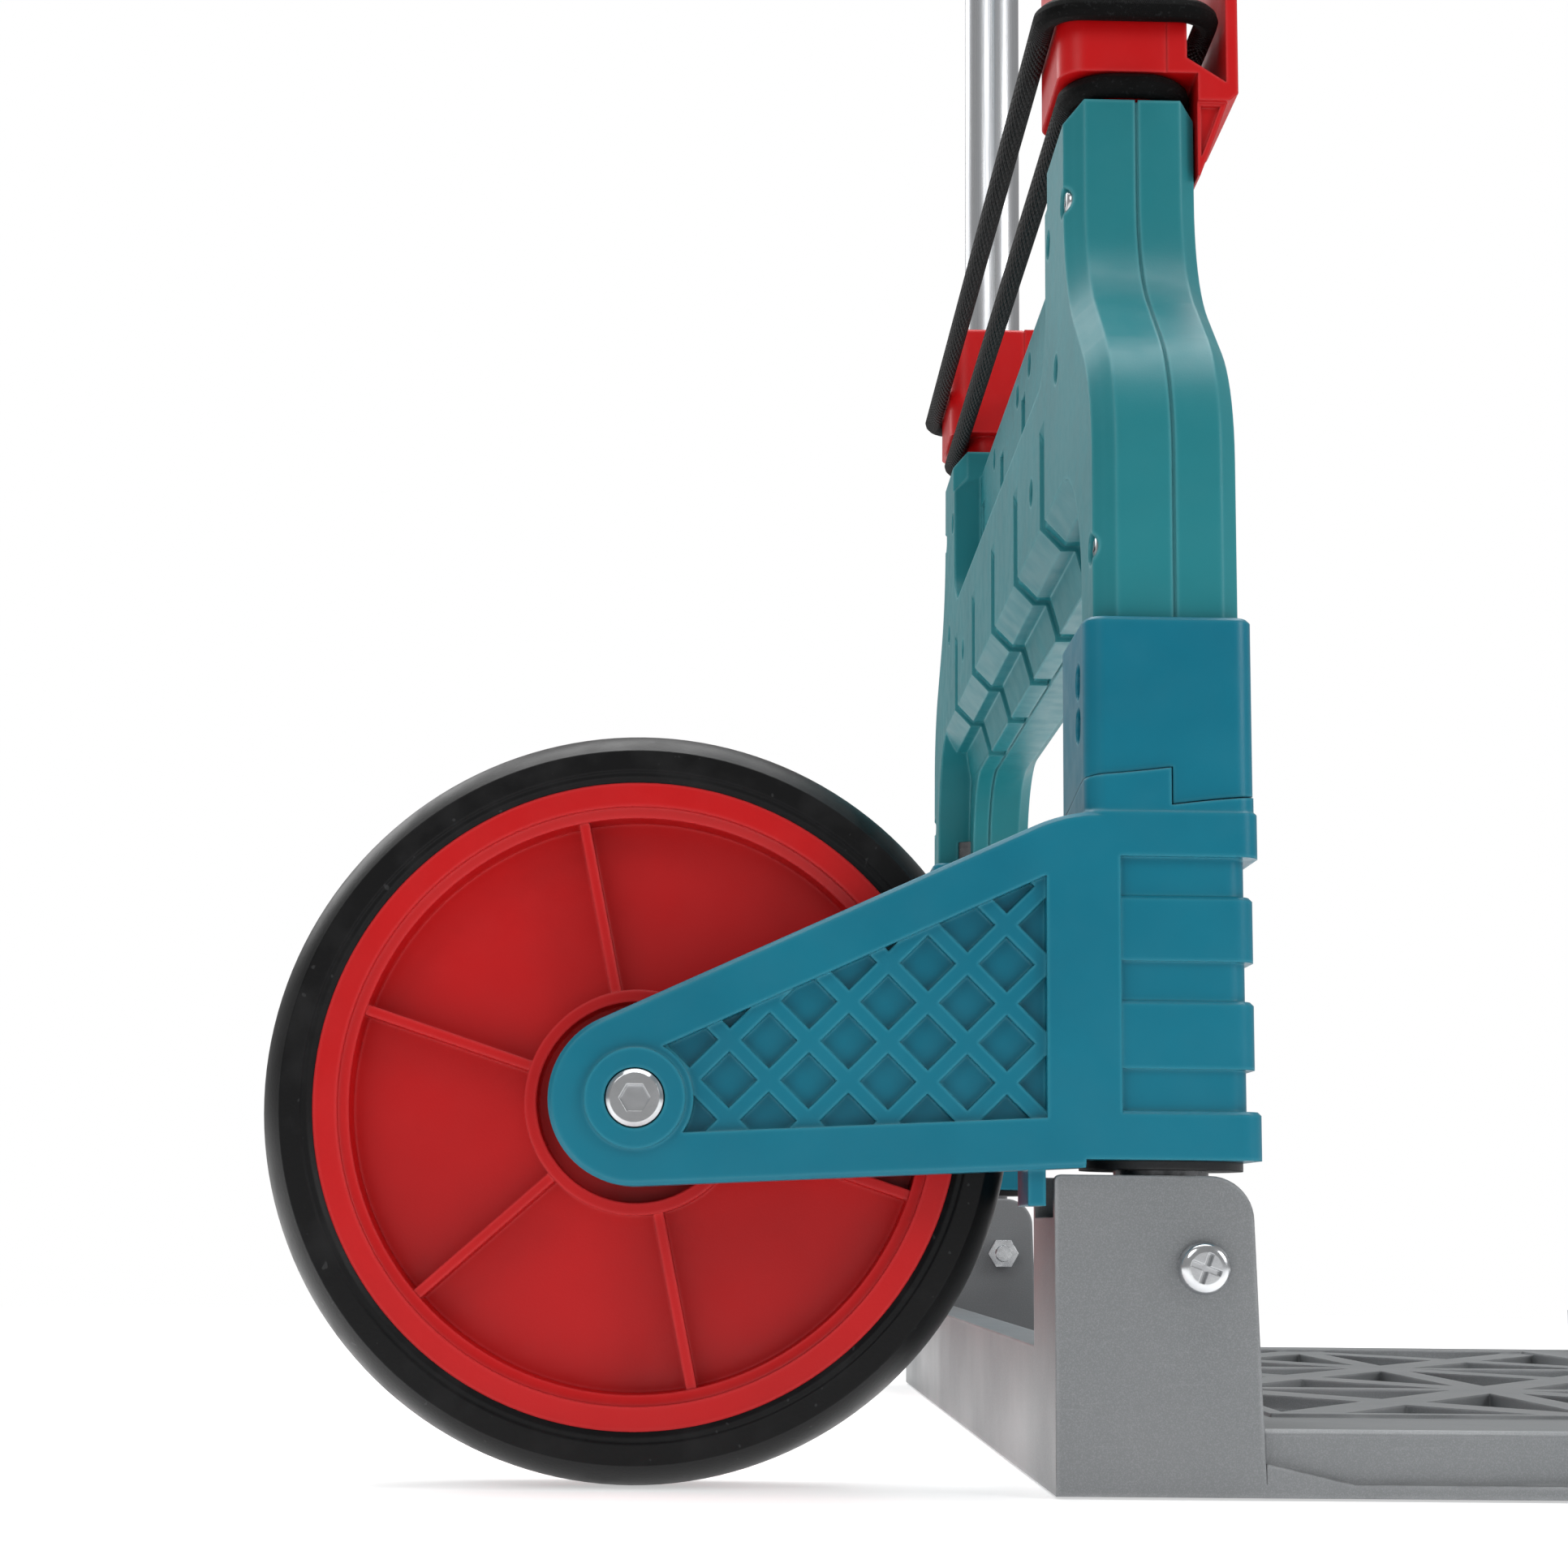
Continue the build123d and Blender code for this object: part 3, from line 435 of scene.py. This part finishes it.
# Tyre: flat sidewalls with a raised bead by the rim and a round tread
tyreShape = {
    "rimR": 74.6, "rimLip": 1.2, "shoulderR": 82.0, "beadR": 77.4, "beadHeight": 0.5,
    "crownSteps": 22, "steps": 160,
}


def makeTyre(side):
    low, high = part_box("tyre_" + side)
    centre = (low + high) / 2
    half, treadR = (high.x - low.x) / 2, (high.z - low.z) / 2
    rimR, shoulderR = tyreShape["rimR"] * mm, tyreShape["shoulderR"] * mm
    beadR, bead = tyreShape["beadR"] * mm, tyreShape["beadHeight"] * mm
    rise = treadR - shoulderR
    crownR = (half ** 2 + rise ** 2) / (2 * rise)
    spread = math.degrees(math.asin(half / crownR))
    crown = arcPoints((0, treadR - crownR), crownR, 90 + spread, 90 - spread, tyreShape["crownSteps"])
    lipR = rimR + tyreShape["rimLip"] * mm
    sideways = [(-half, beadR), (-half + bead, beadR - bead), (-half + bead, lipR), (-half + 3 * bead, rimR)]
    profile = sideways[::-1] + crown + [(-x, r) for x, r in sideways]
    tyre = spinProfile("tyre" + side.capitalize(), centre, profile, tyreShape["steps"])
    finishPiece(tyre, "wheel_" + side, "tyre_rubber", "tyre_" + side)


for side in sides:
    makeTyre(side)
print("tyres")


# Elastic cords: each is one closed turn round both legs, drawn as four runs and four quarter arcs
cordShape = {"radius": 3.15, "corners": {"elastic_cord_lower": 11.0, "elastic_cord_upper": 9.0}}


def makeCord(node, corner):
    low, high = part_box(node)
    radius = cordShape["radius"] * mm
    corner *= mm
    xLow, xHigh, yLow, yHigh = low.x + radius, high.x - radius, low.y + radius, high.y - radius
    level = (low.z + high.z) / 2
    pull = corner * 0.5523  # handle length for a quarter circle
    data = bpy.data.curves.new(node, "CURVE")
    data.dimensions = "3D"
    data.bevel_depth = radius
    data.bevel_resolution = 4
    data.resolution_u = 12
    spline = data.splines.new("BEZIER")
    spline.bezier_points.add(7)
    ways = [
        ((xLow + corner, yLow), (1, 0)), ((xHigh - corner, yLow), (1, 0)),
        ((xHigh, yLow + corner), (0, 1)), ((xHigh, yHigh - corner), (0, 1)),
        ((xHigh - corner, yHigh), (-1, 0)), ((xLow + corner, yHigh), (-1, 0)),
        ((xLow, yHigh - corner), (0, -1)), ((xLow, yLow + corner), (0, -1)),
    ]
    for point, (spot, way) in zip(spline.bezier_points, ways):
        point.co = (*spot, level)
        point.handle_left = point.co - Vector((*way, 0)) * pull
        point.handle_right = point.co + Vector((*way, 0)) * pull
    spline.use_cyclic_u = True
    cord = bpy.data.objects.new("elasticCord" + node.split("_")[-1].capitalize(), data)
    bpy.context.scene.collection.objects.link(cord)
    bpy.ops.object.select_all(action="DESELECT")
    cord.select_set(True)
    bpy.context.view_layer.objects.active = cord
    bpy.ops.object.convert(target="MESH")
    cord = bpy.context.object
    bpy.ops.object.shade_smooth()
    length = 2 * (xHigh - xLow + yHigh - yLow) - (8 - 2 * math.pi) * corner
    girths = length / (2 * math.pi * radius)
    # One turn of the weave is as long as the cord is round
    for item in cord.data.uv_layers.active.data:
        item.uv.x *= girths
    finishPiece(cord, "frame", "elastic_braid", node)


for cordNode, cordCorner in cordShape["corners"].items():
    makeCord(cordNode, cordCorner)
print("cords")


# Floor: a plain white paper sheet, a little glossy. It glows a little, and more away from the cart, so it
# meets the backdrop without a line.
floorLook = {"size": 12.0, "colour": "#F6F6F6", "roughness": 0.5, "glow": 0.48, "fade": (0.35, 1.3)}


def makeFloor(look):
    bpy.ops.object.select_all(action="DESELECT")
    bpy.ops.mesh.primitive_plane_add(size=look["size"], location=(0, 0, 0))
    floor = bpy.context.object
    floor.name = "floor"
    material, tree, shader = newMaterial("whitePaper", {
        "Base Color": fromHex(look["colour"]), "Roughness": look["roughness"],
        "Emission Color": (1, 1, 1, 1), "Emission Strength": look["glow"],
    })
    place = addNode(tree, "ShaderNodeTexCoord").outputs["Object"]
    away = addNode(tree, "ShaderNodeVectorMath", {"operation": "LENGTH"}, {0: place}).outputs["Value"]
    near, far = look["fade"]
    share = mapShare(tree, away, {"From Min": near, "From Max": far})
    white = addNode(tree, "ShaderNodeEmission", {"Strength": 1.0}).outputs[0]
    mixed = addNode(tree, "ShaderNodeMixShader", None, {0: share, 1: shader.outputs[0], 2: white}).outputs[0]
    tree.links.new(mixed, tree.nodes["Material Output"].inputs["Surface"])
    floor.data.materials.append(material)


makeFloor(floorLook)

print("finished")
